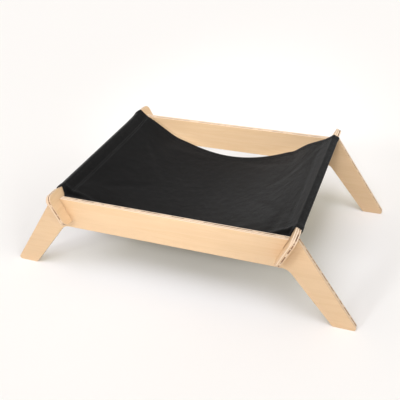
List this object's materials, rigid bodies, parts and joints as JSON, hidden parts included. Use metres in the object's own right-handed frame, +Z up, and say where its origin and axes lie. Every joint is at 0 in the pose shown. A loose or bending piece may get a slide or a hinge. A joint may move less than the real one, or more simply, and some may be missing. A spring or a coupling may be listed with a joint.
{
  "type": "elevated cat bed",
  "caption": "Low raised pet bed: two splay-legged plywood side panels, slotted onto tilted plywood cross boards whose rounded ends stick out, carry a sagging canvas sling by its sleeves.",
  "frame": {"origin": "on the floor, under the middle of the bed", "axes": "+X along the side panels to the right as the bed is seen from the front, +Y from the front panel to the rear panel, +Z up"},
  "size_m": [0.6222, 0.4, 0.1663],
  "materials": {
    "birch_plywood": "satin clear-coated birch plywood, pale face veneer, edges showing the darker cross plies",
    "canvas": "matt charcoal canvas, tightly woven, sewn sleeves and hemmed free edges"
  },
  "bodies": {
    "root": {"front_side_panel": "birch_plywood", "rear_side_panel": "birch_plywood", "left_cross_board": "birch_plywood", "right_cross_board": "birch_plywood", "canvas_sling": "canvas"}
  },
  "joints": []
}
